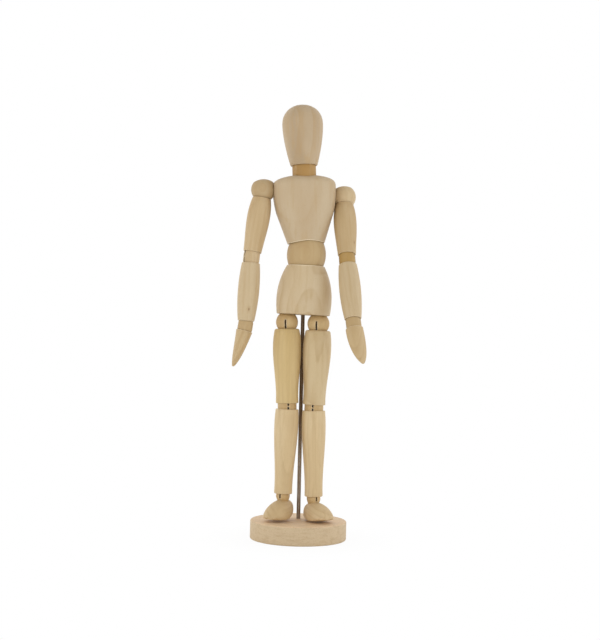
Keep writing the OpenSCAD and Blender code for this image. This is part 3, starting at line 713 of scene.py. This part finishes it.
def carved_foot(side, place):
    """A clog from heel to toe, with half widths and heights that follow a half circle's sine."""
    heel = 0.31 * FOOT_LENGTH
    toe_spring = 3
    heel_spring = 3.4
    tread = 1.5
    heel_shape = (0.66, 1)
    arch_pull = (0.66, 1.1)
    ball_pull = (1.14, 1.35)
    toe_shape = (1, 0.62)
    seat_depth = 8
    seat_radius = (3.35, 6.05)
    steps = 40
    first = math.radians(8)
    rings = []
    for k in range(steps + 1):
        a = first + (math.pi - 2 * first) * k / steps
        t = (1 - math.cos(a)) / 2
        outline, instep = pull(heel_shape, arch_pull, ball_pull, toe_shape, t)
        half_width = FOOT_WIDTH / 2 * math.sin(a) ** 0.65 * outline
        toe_lift = toe_spring * (max(0, t - 0.5) * 2) ** 2
        heel_lift = heel_spring * (max(0, 0.3 - t) / 0.3) ** 2
        lift = toe_lift + heel_lift
        height = FOOT_HEIGHT * instep * math.sin(a) ** 0.35 - tread - lift
        ring = []
        for x, y in squared_oval(1, 1, 2.2, 64):
            z = height * y if y > 0 else tread * math.copysign(abs(y) ** 0.5, y)
            point = Vector((half_width * x, heel - FOOT_LENGTH * t, lift + tread + z - SOLE_DROP))
            ring.append(place @ (point * MM))
        rings.append(ring)
    piece = carve("carved_" + side + "_foot", rings)
    seat = place @ Matrix.Translation((0, 0, (seat_depth / 2 - SEAT_DROP) * MM))
    hollow(piece, [bore_cutter(seat, seat_radius[0] * MM, seat_radius[1] * MM, seat_depth * MM)])
    return piece


for side in ("left", "right"):
    outward = 1 if side == "left" else -1
    peg = outward * joint_axis[side + "_foot_turn"]
    place = set_frame(joint_at[side + "_foot_turn"], -joint_axis[side + "_ankle_pitch"], peg)
    foot = carved_foot(side, place)
    toes = place.to_3x3() @ Vector((0, -1, 0))
    ankle = place.translation
    pith, grain = limb_grain(side + "_foot", ankle, ankle + toes, lean=0.1, away=14)
    dress(foot, plain_wood(side + "_foot_wood", pith, grain, *FOOT_TONES, streaks=0.4, rings=0.4))
    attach(foot, side + "_foot")
    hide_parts(side + "_foot")


# Springs, pins and studs
# Tension springs of steel wire run inside the limbs and the body. Their hooks hold cut steel
# pins that cross the saw cuts of the balls, and draw every cup onto its ball. The springs are
# painted almost black, as painted shade where they show in the saw cuts.

PIN_STEEL = (84, 72, 58)
PIN_DULL = (48, 38, 30)
# Painted shade: the springs are painted almost black where they show in the saw cuts.
SPRING_PAINTED_SHADE = (62, 56, 50)
SPRING_DULL_PAINTED_SHADE = (36, 31, 27)

spring_painted_shade_finish = drawn_steel("spring_steel", SPRING_PAINTED_SHADE, SPRING_DULL_PAINTED_SHADE, 3)
pin_finish = drawn_steel("pin_steel", PIN_STEEL, PIN_DULL, 1.5)
for part in frame["record"]["subparts"]:
    if part["material_slot"] == "spring_steel":
        dress(frame["nodes"][part["node"]], spring_painted_shade_finish)
    elif part["material_slot"] == "pin_steel":
        dress(frame["nodes"][part["node"]], pin_finish)


def give_way(node, a, b, start, end, from_share=0.35, to_share=0.65):
    """Puts a finished copy of a spring in place of the spring, and hides the spring itself.
    The bodies a and b, start, end, from_share and to_share are not used.
    """
    spring = bpy.data.objects.new("bending_" + node, frame["nodes"][node].data.copy())
    bpy.context.scene.collection.objects.link(spring)
    dress(spring, spring_painted_shade_finish)
    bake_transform(spring)
    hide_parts(node)


def upright_ends(node, middle):
    """Points over and under a middle at the height of an upright piece's two ends."""
    low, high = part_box(node)
    return Vector((middle.x, middle.y, low.z)), Vector((middle.x, middle.y, high.z))


give_way("waist_spring", "waist_ball", "waist_spring", *upright_ends("waist_spring", waist), 0.45, 0.9)
give_way("neck_spring", "neck_spring", "head", *upright_ends("neck_spring", neck))
right_shoulder = joint_at["right_shoulder_swing"]
give_way("shoulder_spring", "chest", "left_shoulder", right_shoulder, joint_at["left_shoulder_swing"])
for side in ("left", "right"):
    shoulder = joint_at[side + "_shoulder_swing"]
    elbow_top = joint_at[side + "_elbow_upper"]
    elbow = joint_at[side + "_elbow_lower"]
    wrist_top = joint_at[side + "_wrist_upper"]
    give_way(side + "_upper_arm_spring", side + "_arm_spring", side + "_upper_arm", shoulder, elbow_top)
    give_way(side + "_forearm_spring", side + "_forearm_spring", side + "_forearm", elbow, wrist_top)


# Floor, light and camera
# A white sheet under the base, light from all round that is weaker from above and stronger
# from behind, and a broad soft lamp on each side of the camera, which looks from the front.

FLOOR_WHITE = (250, 250, 250)


def floor_sheet():
    """A round sheet that the camera sees as white but for the shadow near the base."""
    radius = 0.6
    mesh = bpy.data.meshes.new("floor")
    shape = bmesh.new()
    bmesh.ops.create_circle(shape, cap_ends=True, segments=96, radius=radius)
    shape.to_mesh(mesh)
    shape.free()
    piece = bpy.data.objects.new("floor", mesh)
    bpy.context.scene.collection.objects.link(piece)
    material = bpy.data.materials.new("floor_white")
    material.use_nodes = True
    tree = material.node_tree
    tree.nodes.clear()
    place = put(tree, "ShaderNodeTexCoord").outputs["Object"]
    far = put(tree, "ShaderNodeVectorMath", {0: place}, operation="LENGTH").outputs["Value"]
    fade = between(tree, far, 0.034, 0.08, 0.94, 1.0)
    seen = put(tree, "ShaderNodeLightPath").outputs["Is Camera Ray"]
    sheet = put(tree, "ShaderNodeBsdfDiffuse", {"Color": tint(FLOOR_WHITE)}).outputs[0]
    white = put(tree, "ShaderNodeEmission", {"Color": (1, 1, 1, 1), "Strength": 1.0}).outputs[0]
    mix = put(tree, "ShaderNodeMixShader", {0: times(tree, fade, seen), 1: sheet, 2: white}).outputs[0]
    put(tree, "ShaderNodeOutputMaterial", {"Surface": mix})
    mesh.materials.append(material)


def white_room(level, overhead, behind):
    """Light from all round, at a level, a lower one overhead, and so many times more behind."""
    world = bpy.data.worlds.new("white_room")
    bpy.context.scene.world = world
    world.use_nodes = True
    tree = world.node_tree
    tree.nodes.clear()
    way = put(tree, "ShaderNodeTexCoord").outputs["Generated"]
    way = put(tree, "ShaderNodeSeparateXYZ", {0: way})
    strength = between(tree, way.outputs["Z"], 0.1, 0.95, level, overhead)
    strength = times(tree, strength, between(tree, way.outputs["Y"], -0.2, 0.6, 1.0, behind))
    path = put(tree, "ShaderNodeLightPath")
    seen = path.outputs["Is Camera Ray"]
    for other in ("Is Glossy Ray", "Is Transmission Ray"):
        seen = put(tree, "ShaderNodeMath", {0: seen, 1: path.outputs[other]}, operation="MAXIMUM").outputs[0]
    lit = put(tree, "ShaderNodeBackground", {"Color": (1, 1, 1, 1), "Strength": strength}).outputs[0]
    white = put(tree, "ShaderNodeBackground", {"Color": (1, 1, 1, 1), "Strength": 1.0}).outputs[0]
    mix = put(tree, "ShaderNodeMixShader", {0: seen, 1: lit, 2: white}).outputs[0]
    put(tree, "ShaderNodeOutputWorld", {"Surface": mix})


def soft_lamp(name, position, size, power):
    """A square lamp, aimed at the figure's knees."""
    lamp = bpy.data.lights.new(name, "AREA")
    lamp.size = size
    lamp.energy = power
    holder = bpy.data.objects.new(name, lamp)
    bpy.context.scene.collection.objects.link(holder)
    aim = Vector((0, 0, 0.12)) - Vector(position)
    holder.location = position
    holder.rotation_euler = aim.to_track_quat("-Z", "Y").to_euler()


floor_sheet()
white_room(level=0.8, overhead=0.5, behind=2.0)
soft_lamp("lamp_left", (-1.1, -0.8, 0.1), size=1.5, power=7.5)
soft_lamp("lamp_right", (1.1, -0.8, 0.1), size=1.5, power=7.5)

PICTURE_HEIGHT = 640
FOCAL_PIXELS = 1150
CAMERA_AWAY = 0.805
CAMERA_HEIGHT = 0.1327
HORIZON_BELOW_MIDDLE = 28.1
FIGURE_RIGHT_OF_MIDDLE = 2.8
CAMERA_ROLL = math.radians(1.3)

camera = bpy.data.cameras.new("camera")
camera.sensor_width = 36
camera.lens = FOCAL_PIXELS / PICTURE_HEIGHT * camera.sensor_width
camera_holder = bpy.data.objects.new("camera", camera)
bpy.context.scene.collection.objects.link(camera_holder)
bpy.context.scene.camera = camera_holder
pitch = math.atan(HORIZON_BELOW_MIDDLE / FOCAL_PIXELS)
yaw = math.atan(FIGURE_RIGHT_OF_MIDDLE / FOCAL_PIXELS)
camera_holder.matrix_world = (
    Matrix.Translation((0, -CAMERA_AWAY, CAMERA_HEIGHT))
    @ Matrix.Rotation(yaw, 4, "Z")
    @ Matrix.Rotation(math.pi / 2 + pitch, 4, "X")
    @ Matrix.Rotation(CAMERA_ROLL, 4, "Z")
)
bpy.context.scene.view_settings.view_transform = "Standard"
